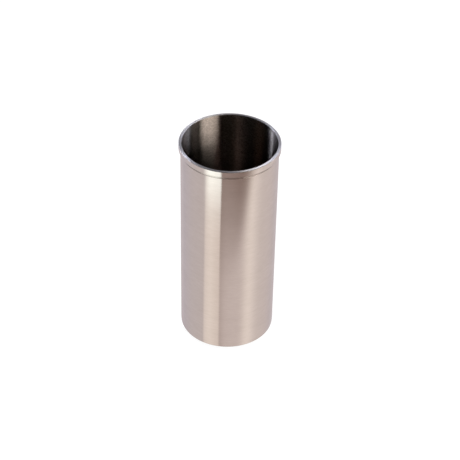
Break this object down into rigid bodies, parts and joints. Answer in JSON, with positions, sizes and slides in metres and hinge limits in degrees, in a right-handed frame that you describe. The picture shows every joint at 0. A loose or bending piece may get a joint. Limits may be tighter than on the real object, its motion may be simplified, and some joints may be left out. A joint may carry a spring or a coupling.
{
  "type": "cylinder liner",
  "caption": "Thin-walled dry cylinder liner with a plain honed bore, a ground outside and a small top flange that seats in an engine block.",
  "frame": {"origin": "centre of the lower end face, on the bore axis", "axes": "+Z along the bore axis, from the plain lower end up to the flanged gasket end; X and Y are any two square directions, because the part is round"},
  "size_m": [0.0972, 0.0972, 0.22],
  "materials": {
    "ground_steel": "cylindrically ground outside, turned end faces, honed bore"
  },
  "bodies": {
    "root": {"cylinder_liner": "ground_steel"}
  },
  "joints": []
}
